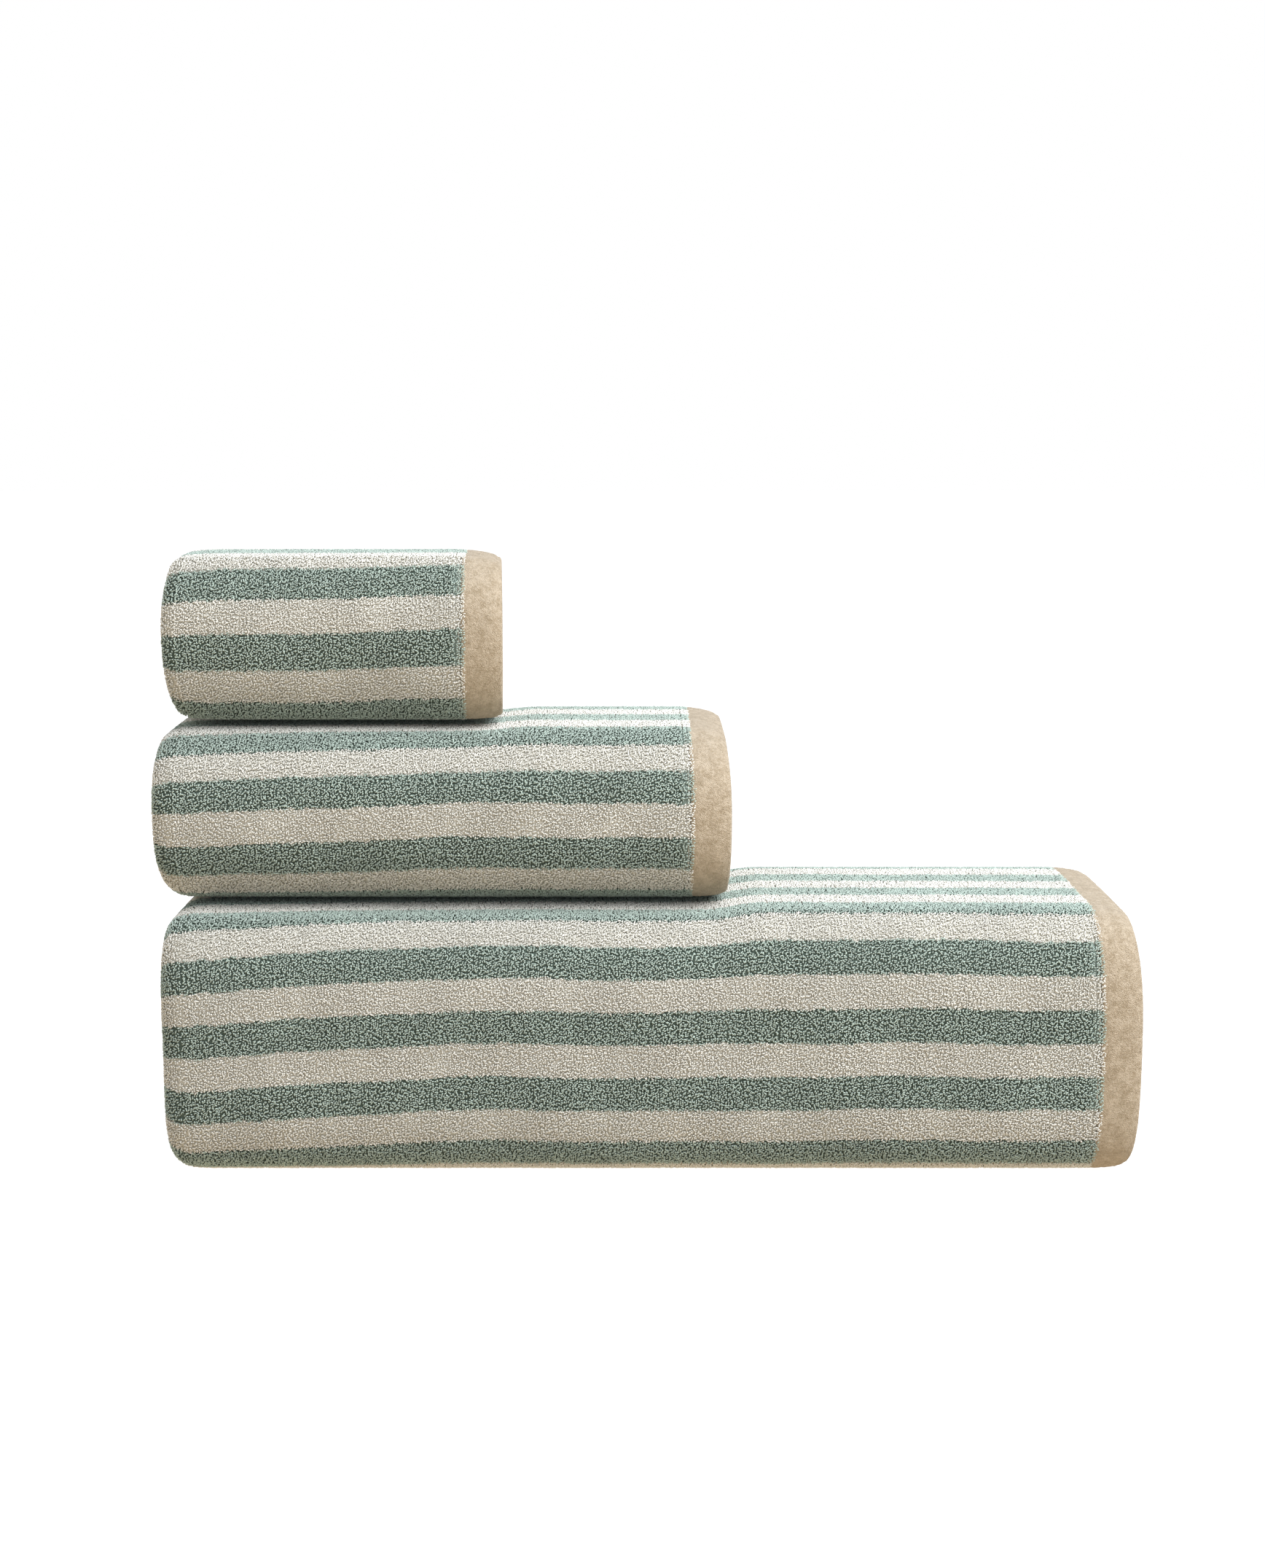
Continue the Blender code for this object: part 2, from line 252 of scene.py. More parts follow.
class Bundle:
    """A folded towel in the space its CAD cloth holds: flat measures in, points of the bundle out."""

    def __init__(self, towel):
        self.towel = towel
        low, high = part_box(towel.name + "_cloth")
        self.left, self.right = low.x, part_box(towel.name + "_end_band")[1].x
        self.bottom, self.top = low.z, high.z
        self.middle_y, self.middle_z = (low.y + high.y) / 2, (low.z + high.z) / 2
        self.half_depth = (high.y - low.y) / 2
        self.half_height = (high.z - low.z) / 2 + SQUASH
        self.pitch = TERRY_THICK + towel.loose
        self.stack = towel.plies * self.pitch
        self.flattest = 1 - SQUASH / self.half_height
        self.flat = math.asin(self.flattest ** (towel.power / 2))
        self.length = towel.flat_length - 2 * NOSE
        self.lay_fold()
        self.lay_wrap()

    def lay_fold(self):
        """The runs of cloth between and round the folds, from the outer end."""
        towel, half = self.towel, TERRY_THICK / 2
        big, small = self.pitch * (towel.plies - 1) / 2, self.pitch / 2
        self.nose = half + big
        self.left_fold = self.left + NOSE_STRETCH * self.nose
        start = self.right - NOSE
        runs = [(start - self.left_fold, 0.0), (math.pi * big, -1 / big)]
        if towel.plies == 3:
            inner_run = self.right - TUCK - half - small - self.left_fold
            runs += [(inner_run, 0.0), (math.pi * small, -1 / small)]
        runs.append((self.length - sum(run for run, _ in runs), 0.0))
        x, depth, heading, begun = start, half, math.pi, 0.0
        begins = []
        for run, bend in runs:
            begins.append((begun, x, depth, heading, bend))
            if bend:
                turned = heading + bend * run
                x += (math.sin(turned) - math.sin(heading)) / bend
                depth -= (math.cos(turned) - math.cos(heading)) / bend
                heading = turned
            else:
                x += run * math.cos(heading)
            begun += run
        self.begins = np.array(begins)
        self.folds = [(row[0], after[0]) for row, after in zip(begins, begins[1:]) if row[4]]

    def fold(self, along):
        """X, depth, and the direction in which the cloth's face looks."""
        number = np.searchsorted(self.begins[:, 0], along, side="right") - 1
        begun, x, depth, heading, bend = self.begins[np.maximum(number, 0)].T
        step = along - begun
        turned = heading + bend * step
        straight = bend == 0
        curve = np.where(straight, 1.0, bend)
        x = x + np.where(straight, step * np.cos(heading), (np.sin(turned) - np.sin(heading)) / curve)
        depth = depth - np.where(straight, 0.0, (np.cos(turned) - np.cos(heading)) / curve)
        return x, depth, -np.sin(turned), np.cos(turned)

    def section(self, turn, depth):
        """Y and Z at an angle round the wrap, counted from the free side edge, and a depth."""
        turns = np.floor(turn / (2 * math.pi))
        rest = turn - 2 * math.pi * turns
        angle = -self.flat - rest
        sunk = ease((rest + self.flat - 2 * math.pi) / self.flat)
        deep = depth + self.stack * (turns + sunk)
        across = signed_power(np.cos(angle), 2 / self.towel.power)
        upward = signed_power(np.sin(angle), 2 / self.towel.power)
        size = np.abs(upward)
        size = (size + self.flattest - np.sqrt((size - self.flattest) ** 2 + SOFT_EDGE**2)) / 2
        upward = np.sign(upward) * size
        y = self.middle_y + across * (self.half_depth - deep)
        z = self.middle_z + upward * (self.half_height - deep)
        return y, z, deep

    def lay_wrap(self):
        """Tables of the angle round the wrap against length, at the strip's middle and its outer face."""
        steps = np.linspace(0.0, WRAP_QUARTERS, WRAP_QUARTERS * QUARTER_STEPS + 1)
        part = steps % 1.0
        # finer towards the quarter turns, where a boxy section runs far for a small angle
        eased = steps - np.sin(2 * math.pi * part) / (2 * math.pi)
        turns = eased * math.pi / 2 - self.flat
        self.turns = np.concatenate([[0.0], turns[turns > 0]])
        tables = []
        for depth in (self.stack / 2, TERRY_THICK / 2):
            y, z, _ = self.section(self.turns, depth)
            tables.append(np.concatenate([[0.0], np.cumsum(np.hypot(np.diff(y), np.diff(z)))]))
        self.middle_lengths, self.outer_lengths = tables

    def turn_at(self, across):
        return np.interp(across, self.middle_lengths, self.turns)

    def across_at(self, turn):
        return np.interp(turn, self.turns, self.middle_lengths)

    def stripes_at(self, along, across):
        """Which pair of stripes a place of the cloth is in, as a running count."""
        towel = self.towel
        x = self.fold(along.ravel())[0].reshape(along.shape)
        sag = towel.stripe_sag * nearness(x - self.left, SAG_REACH, 1.6)
        sway = sum(size * np.sin(x * rate + across * climb) for size, rate, climb in STRIPE_SWAY)
        outer = np.interp(across, self.middle_lengths, self.outer_lengths)
        return outer / towel.stripe_pair + towel.stripe_phase + sag + sway

    def settle(self, x, y, z, deep):
        """The bundle under its own weight and what lies on it: rounded ends, soft swells."""
        towel = self.towel
        half_z = (self.top - self.bottom) / 2
        round_y, round_z = (y - self.middle_y) / self.half_depth, (z - self.middle_z) / half_z
        upper, lower = np.clip(round_z, 0, 1), np.clip(-round_z, 0, 1)
        # the ends draw in a little
        near_left = nearness(x - self.left, LEFT_DRAW_REACH, 2)
        near_right = nearness(self.right - x, RIGHT_DRAW_REACH, 2)
        new_z = z - (towel.left_draw[0] * near_left + towel.right_draw[0] * near_right) * upper
        new_z = new_z + (towel.left_draw[1] * near_left + towel.right_draw[1] * near_right) * lower
        new_y = y - SIDE_DRAW * (near_left + near_right) * np.clip(round_y, -1, 1)
        # the ends bulge at the middle of their height, and the right end leans back
        from_left = nearness(x - self.left, BULGE_REACH, 1.5)
        from_right = nearness(self.right - x, BULGE_REACH, 1.5)
        middle, top, low = towel.left_short
        new_x = x + from_left * (middle + top * upper**2.5 + low * lower**2.5)
        middle, top, low = towel.right_short
        new_x = new_x - from_right * (middle + top * upper**2.2 + low * lower**2.2)
        new_x = new_x - from_right * towel.lean_back * np.clip((round_y + 1) / 2, 0, 1) ** 0.8
        new_x = new_x - from_right * TURN_STEP_IN * np.clip(deep / self.stack - 1, 0, 3)
        # the top comes up where nothing presses on it, and is highest towards the back
        free = ease((x - towel.free_from) / FREE_BLEND + 0.5)
        to_front = np.clip((SLOPE_FROM - round_y) / (2 * SLOPE_FROM), 0, 2 * SLOPE_FROM)
        new_z = new_z + towel.free_rise * free * upper**1.3 - towel.slope * to_front**1.5 * upper**1.5
        # slow swells in the front and the back
        wave = sum(
            size * np.sin(x * rate + round_z * climb + towel.flat_width * shift)
            for size, rate, climb, shift in SWELLS
        )
        side = np.clip(1 - round_z**4, 0, 1)
        new_y = new_y + SWELL_SIZE * wave * side * np.clip(round_y, -1, 1)
        return new_x, new_y, new_z

    def point(self, along, across, off):
        """Points of the bundle, one row each, for flat measures of any one shape."""
        along, across, off = np.broadcast_arrays(*(np.asarray(m, float) for m in (along, across, off)))
        x, depth, out_x, out_depth = self.fold(along.ravel())
        off = off.ravel()
        x = x + off * out_x
        nose = np.maximum(self.left_fold - x, 0) / self.nose
        pointed = self.nose * NOSE_STRETCH * nose * (1 + NOSE_POINT - NOSE_POINT * nose)
        x = np.where(nose > 0, self.left_fold - pointed, x)
        y, z, deep = self.section(self.turn_at(across.ravel()), depth + off * out_depth)
        return np.stack(self.settle(x, y, z, deep), axis=1)

    def rooted(self, along, across, off, face):
        """Points on the cloth with the directions along it, across it and out of one of its faces."""
        tiny = 0.0004
        here = self.point(along, across, off)
        ahead = self.point(along + tiny, across, off) - self.point(along - tiny, across, off)
        beside = self.point(along, across + tiny, off) - self.point(along, across - tiny, off)
        out = self.point(along, across, off + tiny * face) - here
        ahead, beside = unit(ahead), unit(beside)
        normal = unit(np.cross(ahead, beside))
        normal *= np.sign((normal * out).sum(1))[:, None]
        return here, ahead, unit(np.cross(normal, ahead)), normal


def unit(vectors):
    return vectors / np.maximum(np.linalg.norm(vectors, axis=1), 1e-12)[:, None]


# ---------------------------------------------------------------------------------------------- finishes


class Value:
    """A socket in a finish's node tree, which arithmetic turns into Math nodes."""

    def __init__(self, finish, socket):
        self.finish, self.socket = finish, socket

    def worked_out(self, other, operation, swapped=False):
        pair = (other, self) if swapped else (self, other)
        return self.finish.node("ShaderNodeMath", {"operation": operation}, *pair)

    def __add__(self, other):
        return self.worked_out(other, "ADD")

    __radd__ = __add__

    def __sub__(self, other):
        return self.worked_out(other, "SUBTRACT")

    def __rsub__(self, other):
        return self.worked_out(other, "SUBTRACT", swapped=True)

    def __mul__(self, other):
        return self.worked_out(other, "MULTIPLY")

    __rmul__ = __mul__


class Nodes:
    """A node tree, and one method that adds any node."""

    def __init__(self, tree):
        self.tree = tree

    def node(self, kind, settings, *values, out=0, **named):
        """Adds a node and gives back one of its sockets; values go to its inputs in order or by name."""
        node = self.tree.nodes.new(kind)
        for key, value in settings.items():
            setattr(node, key, value)
        pairs = [(node.inputs[number], value) for number, value in enumerate(values)]
        pairs += [(self.input_named(node, key), value) for key, value in named.items()]
        for socket, value in pairs:
            if isinstance(value, Value):
                self.tree.links.new(value.socket, socket)
            elif value is not None:
                socket.default_value = value
        return Value(self, node.outputs[out])

    @staticmethod
    def input_named(node, key):
        """The input that is enabled and has this name, with _ for a space."""
        wanted = key.replace("_", " ")
        return next(s for s in node.inputs if s.name == wanted and s.enabled)

    def mix(self, share, first, second, blend="MIX"):
        """A colour between two, or one blended over the other."""
        node = self.tree.nodes.new("ShaderNodeMix")
        node.data_type, node.blend_type = "RGBA", blend
        node.clamp_result = False
        for number, value in ((0, share), (6, first), (7, second)):
            if isinstance(value, Value):
                self.tree.links.new(value.socket, node.inputs[number])
            else:
                node.inputs[number].default_value = (*value, 1.0) if number else value
        return Value(self, node.outputs[2])

    def shade(self, colour, amount):
        """A colour times a number."""
        grey = self.node("ShaderNodeCombineXYZ", {}, amount, amount, amount)
        return self.mix(1.0, colour, grey, "MULTIPLY")

    def step(self, value, low, high):
        """0 below low and 1 above high, softly between."""
        settings = {"interpolation_type": "SMOOTHSTEP", "clamp": True}
        return self.node("ShaderNodeMapRange", settings, value, low, high, 0.0, 1.0)


class Finish(Nodes):
    """A node material, with what is the same all over it set on the shader."""

    def __init__(self, name, roughness, sheen=0.0, sheen_tint=(1, 1, 1), sheen_roughness=0.5):
        self.made = bpy.data.materials.new(name)
        self.made.use_nodes = True
        super().__init__(self.made.node_tree)
        self.shader = self.tree.nodes["Principled BSDF"]
        settings = {
            "Roughness": roughness,
            "Metallic": 0.0,
            "Specular IOR Level": 0.15,
            "Sheen Weight": sheen,
            "Sheen Roughness": sheen_roughness,
            "Sheen Tint": (*sheen_tint, 1.0),
        }
        for socket, value in settings.items():
            self.shader.inputs[socket].default_value = value

    def measure(self, name):
        """A number that the mesh carries at each point."""
        return self.node("ShaderNodeAttribute", {"attribute_name": name}, out=2)

    def place(self):
        return self.node("ShaderNodeTexCoord", {}, out=3)

    def noise(self, scale, detail=2.0, roughness=0.5):
        """Noise about 0.5, its scale in cells per metre."""
        sizes = {"Scale": scale, "Detail": detail, "Roughness": roughness}
        return self.node("ShaderNodeTexNoise", {}, Vector=self.place(), **sizes)

    def bands(self, settings, scale, distortion):
        """Even bands, such as a yarn's twist or a rib, their scale in cells per metre."""
        sizes = {"Scale": scale, "Distortion": distortion}
        return self.node("ShaderNodeTexWave", settings, Vector=self.place(), **sizes)

    def set(self, socket, value):
        self.tree.links.new(value.socket, self.shader.inputs[socket])

    def bump(self, height, strength, distance):
        normal = self.node("ShaderNodeBump", {}, Strength=strength, Distance=distance, Height=height)
        self.set("Normal", normal)


# Of the pile: each yarn's colour at a lit tip, lightened a little as a painted highlight, and at a foot,
# darkened as painted shade between the loops
SAGE_LIT_TIP, SAGE_SHADED_FOOT = (0.600, 0.710, 0.630), (0.105, 0.142, 0.116)
CREAM_LIT_TIP, CREAM_SHADED_FOOT = (0.960, 0.940, 0.870), (0.620, 0.590, 0.500)
# Of the ground: darkened as painted shade where it lies under the loops, and its own weave colour where it
# is bare
SAGE_SHADED_GROUND, SAGE_WEAVE = (0.110, 0.146, 0.120), (0.400, 0.490, 0.435)
CREAM_SHADED_GROUND, CREAM_WEAVE = (0.680, 0.655, 0.575), (0.840, 0.815, 0.735)
VELOUR_LIGHT, VELOUR_DARK = (0.655, 0.545, 0.405), (0.440, 0.345, 0.230)
THREAD_LIGHT, THREAD_DARK = (0.82, 0.79, 0.70), (0.62, 0.58, 0.49)
TAPE_LIGHT, TAPE_DARK = (0.92, 0.91, 0.88), (0.83, 0.82, 0.78)
SLOW_WANDER, QUICK_WANDER = 0.06, 0.09  # of a stripe's edge, in pairs


def striped(finish, soften, sage, cream):
    """Sage and cream in equal stripes, whose edges wander by about a loop."""
    stripes = finish.measure("stripe")
    slow, quick = finish.noise(160.0, 1.0) - 0.5, finish.noise(520.0, 1.0) - 0.5
    wander = slow * SLOW_WANDER + quick * QUICK_WANDER
    pair = finish.node("ShaderNodeMath", {"operation": "FRACT"}, stripes + wander)
    far = finish.node("ShaderNodeMath", {"operation": "ABSOLUTE"}, pair - 0.5)
    share = finish.step(far, 0.25 - soften, 0.25 + soften)
    return finish.mix(share, sage, cream)


def loop_finish():
    """The pile, with painted light and shade on the loops: the yarn's colour is lightened a little at the
    tips as a painted highlight and darkened down at their feet as painted shade, sage more than cream.
    """
    finish = Finish("terry_loops", 0.95, sheen=0.25, sheen_tint=(0.95, 1.0, 0.97), sheen_roughness=0.6)
    tint, height = finish.measure("tint"), finish.measure("height")
    clumps = finish.noise(420.0, 1.0)
    # rise: how far a point shows the lit tip colour rather than the painted shade of the feet, by its
    # height on the loop, shifted by random tint and clumps
    rise = finish.node("ShaderNodeClamp", {}, height * 0.95 + tint * 0.40 + clumps * 0.4 - 0.50, 0.0, 1.0)
    sage = finish.mix(rise, SAGE_SHADED_FOOT, SAGE_LIT_TIP)
    cream = finish.mix(rise, CREAM_SHADED_FOOT, CREAM_LIT_TIP)
    patches = 0.88 + 0.24 * finish.noise(38.0, 3.0)
    finish.set("Base Color", finish.shade(striped(finish, 0.004, sage, cream), patches))
    twist = finish.bands({"wave_type": "BANDS"}, 900.0, 3.0)
    finish.bump(twist + finish.noise(5200.0, 2.0), 0.35, 0.0001)
    return finish.made


def ground_finish():
    """The woven ground: painted dark as shade between the loops, and its own lighter weave in the hems and
    under the bands.
    """
    finish = Finish("terry_ground", 0.97)
    bare = finish.measure("bare")
    # bare is 0 under the pile, where the ground is painted dark as shade, and 1 in the hems and under the
    # bands, where it shows its own weave
    sage = finish.mix(bare, SAGE_SHADED_GROUND, SAGE_WEAVE)
    cream = finish.mix(bare, CREAM_SHADED_GROUND, CREAM_WEAVE)
    weave = finish.noise(2600.0, 2.0)
    finish.set("Base Color", finish.shade(striped(finish, 0.006, sage, cream), 0.75 + weave * 0.5))
    finish.bump(weave, 0.6, 0.0004)
    return finish.made


def velour_finish():
    """Sheared loops in a warm beige, whose nap lies in soft patches."""
    finish = Finish("velour_band", 0.92, sheen=0.35, sheen_tint=(1.0, 0.95, 0.86), sheen_roughness=0.45)
    nap = finish.noise(900.0, 3.0, 0.65)
    patches = finish.noise(260.0, 2.0)
    colour = finish.mix(finish.step(nap * 0.6 + patches * 0.4, 0.34, 0.66), VELOUR_DARK, VELOUR_LIGHT)
    specks = 0.86 + 0.28 * finish.noise(1700.0, 2.0, 0.7)
    finish.set("Base Color", finish.shade(colour, specks))
    finish.bump(nap * 0.8 + finish.noise(2400.0, 2.0), 0.8, 0.0009)
    return finish.made


def cotton_finish():
    """Sewing thread: a ply twist and small lint."""
    finish = Finish("cotton_thread", 0.75, sheen=0.2)
    ply = finish.bands({"bands_direction": "DIAGONAL"}, 420.0, 0.6)
    colour = finish.mix(ply, THREAD_DARK, THREAD_LIGHT)
    finish.set("Base Color", finish.shade(colour, 0.92 + 0.16 * finish.noise(1800.0)))
    finish.bump(ply, 0.5, 0.0002)
    return finish.made


def tape_finish():
    """A blank woven label: fine satin tape with a faint cross rib."""
    finish = Finish("label_tape", 0.5, sheen=0.15)
    rib = finish.bands({"bands_direction": "X"}, 600.0, 0.3)
    colour = finish.mix(rib, TAPE_DARK, TAPE_LIGHT)
    finish.set("Base Color", finish.shade(colour, 0.95 + 0.10 * finish.noise(900.0)))
    finish.bump(rib, 0.3, 0.0001)
    return finish.made


LOOPS = loop_finish()
GROUND = ground_finish()
VELOUR = velour_finish()
COTTON = cotton_finish()
TAPE = tape_finish()

# ------------------------------------------------------------------------------------------------ meshes


def make_piece(name, points, faces, finish, body, flat, measures=None):
    """A mesh that rides on a body. faces is a list of arrays, one for each number of corners; measures
    are the numbers that its finish reads at each point; flat is each point's place in its flat layout."""
    mesh = bpy.data.meshes.new(name)
    corners = np.concatenate([part.ravel() for part in faces]).astype(np.int32)
    sizes = np.concatenate([np.full(len(part), part.shape[1]) for part in faces])
    starts = np.concatenate([[0], np.cumsum(sizes)[:-1]]).astype(np.int32)
    mesh.vertices.add(len(points))
    mesh.vertices.foreach_set("co", np.ascontiguousarray(points, np.float32).ravel())
    mesh.loops.add(len(corners))
    mesh.loops.foreach_set("vertex_index", corners)
    mesh.polygons.add(len(sizes))
    mesh.polygons.foreach_set("loop_start", starts)
    mesh.update(calc_edges=True)
    mesh.shade_smooth()
    for key, values in (measures or {}).items():
        layer = mesh.attributes.new(key, "FLOAT", "POINT")
        layer.data.foreach_set("value", np.ascontiguousarray(values, np.float32))
    drawn = mesh.uv_layers.new(name="OFBake")
    drawn.data.foreach_set("uv", np.ascontiguousarray(flat[corners], np.float32).ravel())
    mesh.materials.append(finish)
    piece = bpy.data.objects.new(name, mesh)
    bpy.context.scene.collection.objects.link(piece)
    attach(piece, body)
    return piece


def grid_quads(rows, columns, first=0):
    """Quads of a grid of points kept row by row."""
    corner = first + np.arange(rows * columns).reshape(rows, columns)
    parts = [corner[:-1, :-1], corner[:-1, 1:], corner[1:, 1:], corner[1:, :-1]]
    return np.stack([part.ravel() for part in parts], axis=1)


def ring_quads(rings, sides, first=0):
    """Quads between rings of points that are closed round."""
    corner = first + np.arange(rings * sides).reshape(rings, sides)
    after = np.roll(corner, -1, axis=1)
    parts = [corner[:-1], after[:-1], after[1:], corner[1:]]
    return np.stack([part.ravel() for part in parts], axis=1)


def sheet_faces(rows, columns):
    """A closed sheet: its two faces, kept one after the other as grids of points, and its edge."""
    layer = rows * columns
    corner = np.arange(layer).reshape(rows, columns)
    edge = np.concatenate([corner[:, 0], corner[-1, 1:], corner[-2::-1, -1], corner[0, -2:0:-1]])
    after = np.roll(edge, -1)
    rim = np.stack([edge, after, layer + after, layer + edge], axis=1)
    return [grid_quads(rows, columns), grid_quads(rows, columns, layer)[:, ::-1], rim]


def tube_faces(rings, sides):
    """A closed tube: its rings of points, and a cap at each end."""
    caps = np.array([np.arange(sides)[::-1], (rings - 1) * sides + np.arange(sides)])
    return [ring_quads(rings, sides), caps]


def places(first, last, step, fine=()):
    """Places from first to last about a step apart, with finer ones in the spans given."""

    def even(low, high, apart):
        return np.linspace(low, high, max(int(round((high - low) / apart)), 1) + 1)

    plain, finer = even(first, last, step), []
    for low, high, small in fine:
        low, high = max(low, first), min(high, last)
        if high > low:
            plain = plain[(plain < low) | (plain > high)]
            finer.append(even(low, high, small))
    merged = np.unique(np.round(np.concatenate([plain, *finer]), 6))
    keep = np.concatenate([[True], np.diff(merged) > LEAST_STEP])
    keep[-1] = True
    return merged[keep]


def ground_half(bundle, along, across):
    """Half the ground's thickness, thin under the bands and rolled in the hems, and how bare it is."""
    width = bundle.towel.flat_width
    from_end = np.minimum(along, bundle.length - along)
    from_side = np.minimum(across, width - across)
    rise = ease((from_end - BAND_WIDTH - SEAM_GROOVE) / SHOULDER)
    hem = ease((from_side - HEM_WIDTH) / SHOULDER)
    rolled = HEM_HALF * np.sqrt(np.clip(1 - (1 - np.clip(from_side / HEM_HALF, 0, 1)) ** 2, 0.15, 1))
    by_side = rolled + (GROUND_HALF - rolled) * hem
    return np.minimum(BARE_HALF + (by_side - BARE_HALF) * rise, by_side), 1 - rise * hem


def make_cloth(bundle):
    """The ground of the whole towel as one closed sheet."""
    towel = bundle.towel
    spans = []
    for begun, ended in bundle.folds:
        first, last = begun - FOLD_MARGIN, ended + FOLD_MARGIN
        spans += [(first, last, FOLD_ROW)]
        spans += [(begun - NEAR_FOLD, first, NEAR_FOLD_ROW), (last, ended + NEAR_FOLD, NEAR_FOLD_ROW)]
    spans += [(0.0, NEAR_FOLD, END_ROW), (bundle.length - NEAR_FOLD, bundle.length, END_ROW)]
    rows = places(0.0, bundle.length, PLAIN_ROW, spans)
    columns = places(0.0, towel.flat_width, COLUMN, [(0, HEM_WIDTH + FOLD_MARGIN, HEM_COLUMN)])
    along, across = np.meshgrid(rows, columns, indexing="ij")
    half, bare = ground_half(bundle, along, across)
    points = np.concatenate([bundle.point(along, across, face * half) for face in (1, -1)])
    faces = sheet_faces(len(rows), len(columns))
    flat_x = across.ravel() / towel.flat_width * FACE_WIDE
    flat_y = np.tile(along.ravel() / bundle.length, 2)
    flat = np.stack([np.concatenate([flat_x, flat_x + OTHER_FACE]), flat_y], axis=1)
    stripe = bundle.stripes_at(along, across).ravel()
    # bare tells the ground's finish where to paint it dark as shade under the loops (0) and where it shows
    # its own weave (1)
    measures = {"stripe": np.tile(stripe, 2), "bare": np.tile(bare.ravel(), 2)}
    name = towel.name + "_terry"
    piece = make_piece(name, points, faces, GROUND, towel.name, flat, measures)
    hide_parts(towel.name + "_cloth")
    return piece


# ---------------------------------------------------------------------------------------------- the pile


def pile_grid(bundle, along_span, across_span, along_pitch, across_pitch):
    """Roots of loops in rows, with the place of each in its grid."""
    rows = max(int((along_span[1] - along_span[0]) / along_pitch), 1)
    columns = max(int((across_span[1] - across_span[0]) / across_pitch), 1)
    row, column = np.meshgrid(np.arange(rows), np.arange(columns), indexing="ij")
    row, column = row.ravel(), column.ravel()
    shake = RANDOM.uniform(-LOOP_SHAKE, LOOP_SHAKE, (2, row.size))
    along = along_span[0] + (row + 0.5 + shake[0]) * along_pitch
    across = across_span[0] + (column + 0.5 + 0.5 * (row % 2 - 0.5) + shake[1]) * across_pitch
    return along, across, row, column, rows, columns


def per_loop(values):
    """A value of each loop for each of its points."""
    return np.repeat(values, LOOP_POINTS)


def make_loops(bundle, name, along, across, cell, lean_on, face):
    """Loops of yarn rooted at places on the cloth, each bent over in its own direction."""
    count = len(along)
    root = np.full(count, face * (GROUND_HALF - FOOT_SUNK))
    here, ahead, beside, out = bundle.rooted(along, across, root, face)
    swing = RANDOM.normal(*LOOP_SWING, count) * np.where(RANDOM.random(count) < SWING_SHARE, 1, -1)
    run = ahead * np.cos(swing)[:, None] + beside * np.sin(swing)[:, None]
    rise = (PILE_TOP - GROUND_HALF) * RANDOM.uniform(*LOOP_RISE, count)
    reach = LOOP_PITCH * RANDOM.uniform(*LOOP_REACH, count)
    lean = RANDOM.normal(0.0, LOOP_LEAN, (2, count)) + np.array([[lean_on], [0.0]])
    thick = LOOP_RADIUS * RANDOM.uniform(*LOOP_THICK, count)
    tilt = ahead * lean[0][:, None] + beside * lean[1][:, None]
    crown = here + out * (CROWN_HEIGHT * rise)[:, None] + tilt
    side_way = np.cross(run, out)
    points = np.empty((count, LOOP_POINTS, 3))
    points[:, 0] = here - run * reach[:, None]
    points[:, -1] = here + run * reach[:, None]
    for ring, over in enumerate((-RING_OUT, RING_OUT)):
        centre = crown + run * (over * reach)[:, None]
        forward = unit(run * RING_LEVEL - out * over)
        outward = unit(np.cross(side_way, forward))
        for corner in range(LOOP_SIDES):
            angle = math.pi / 2 - 2 * math.pi * corner / LOOP_SIDES
            spoke = side_way * math.cos(angle) + outward * math.sin(angle)
            points[:, 1 + ring * LOOP_SIDES + corner] = centre + spoke * thick[:, None]
    firsts = np.arange(count)[:, None, None] * LOOP_POINTS
    quads = (ring_quads(2, LOOP_SIDES, 1)[None] + firsts).reshape(-1, 4)
    first_ring, second_ring, last = 1, 1 + LOOP_SIDES, LOOP_POINTS - 1
    pairs = [(corner, (corner + 1) % LOOP_SIDES) for corner in range(LOOP_SIDES)]
    ends = [(0, first_ring + after, first_ring + corner) for corner, after in pairs]
    ends += [(last, second_ring + corner, second_ring + after) for corner, after in pairs]
    ends = (np.array(ends)[None] + firsts).reshape(-1, 3)
    measures = {
        "stripe": per_loop(bundle.stripes_at(along, across)),
        "tint": per_loop(RANDOM.random(count)),
        # height: 0 at the feet and 1 over the top, which the pile's finish turns into painted shade down
        # at the feet
        "height": np.tile([0.0, *[1.0] * (2 * LOOP_SIDES), 0.0], count),
    }
    column, columns, row, rows = cell
    round_it = np.arange(LOOP_SIDES) / LOOP_SIDES
    cell_x = np.tile([0.33, *round_it, *round_it, 0.33], count)
    cell_y = np.tile([0.0, *[0.3] * LOOP_SIDES, *[0.7] * LOOP_SIDES, 1.0], count)
    flat_x = (per_loop(column) + 0.15 + 0.7 * cell_x) / columns
    flat_y = (per_loop(row) + 0.1 + 0.8 * cell_y) / rows
    flat = np.stack([flat_x, flat_y], axis=1)
    body = bundle.towel.name
    return make_piece(name, points.reshape(-1, 3), [quads, ends], LOOPS, body, flat, measures)


def pile_patch(bundle, label, along_span, across_span, pitch, lean_on=0.0, face=1):
    """Loops over a patch of the cloth, in pieces of no more than LOOPS_IN_PIECE loops."""
    along, across, row, column, rows, columns = pile_grid(bundle, along_span, across_span, *pitch)
    pieces = []
    share = max(1, math.ceil(len(along) / LOOPS_IN_PIECE))
    bounds = np.linspace(0, rows, share + 1).astype(int)
    for number, (first, last) in enumerate(zip(bounds[:-1], bounds[1:]), start=1):
        mine = (row >= first) & (row < last)
        cell = (column[mine], columns, row[mine] - first, last - first)
        name = f"{bundle.towel.name}_{label}_{number}"
        pieces.append(make_loops(bundle, name, along[mine], across[mine], cell, lean_on, face))
    return pieces


